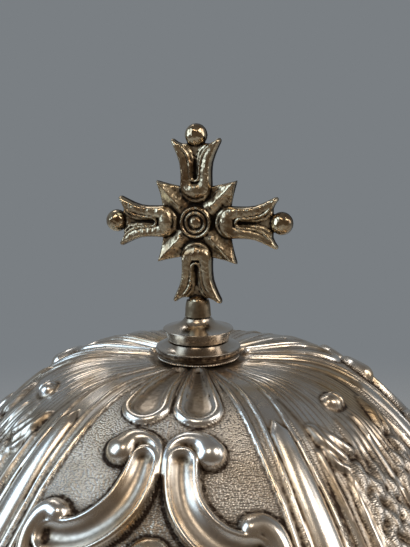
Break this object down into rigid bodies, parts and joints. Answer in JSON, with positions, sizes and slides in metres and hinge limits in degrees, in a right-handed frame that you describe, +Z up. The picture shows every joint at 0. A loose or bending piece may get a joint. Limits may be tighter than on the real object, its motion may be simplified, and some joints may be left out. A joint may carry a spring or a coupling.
{
  "type": "ciborium",
  "caption": "Lidded silver cup with a gilt bowl on a knopped stem and a broad raised foot, closed by a domed lid with chased panels and a cast cross finial.",
  "frame": {"origin": "on the table under the middle of the foot", "axes": "+Z up the stem to the cross, -Y towards the middle of the lid's first large panel, +X to the right of it"},
  "size_m": [0.1436, 0.144, 0.2989],
  "materials": {
    "silver": "polished silver with brown tarnish in the hollows",
    "aged_silver": "rubbed silver with grey tarnish",
    "gilt": "clear fire gilding, satin",
    "tarnished_gilt": "cast silver gilt, rubbed and tarnished, dark in the hollows",
    "iron": "plain turned iron rod, nut and washer"
  },
  "bodies": {
    "vessel": {"foot_base_ring": "aged_silver", "foot_moulding": "silver", "foot_shell": "silver", "foot_collar": "silver", "foot_washer": "iron", "foot_nut": "iron", "tie_rod": "iron", "stem_spool_lower": "silver", "knop_collar_lower": "silver", "knop_shell_lower": "silver", "knop_girdle": "silver", "knop_shell_upper": "silver", "knop_collar_upper": "silver", "stem_spool_upper": "silver", "stem_top_collar": "silver", "calyx_shell": "silver", "calyx_edge_wire": "silver", "cup_socket": "gilt", "cup_bowl": "gilt", "cup_lip_moulding": "silver"},
    "lid": {"lid_bezel": "gilt", "lid_ring": "silver", "lid_dome": "silver", "lid_washer": "gilt", "lid_nut": "gilt", "cross_stud": "tarnished_gilt", "collar_disc_lower": "silver", "collar_disc_upper": "silver", "finial_cross": "tarnished_gilt"}
  },
  "joints": [
    {"name": "lid_lift", "type": "slide", "parent": "vessel", "child": "lid", "axis": [0, 0, 1], "range_m": [0, 0.1]}
  ]
}
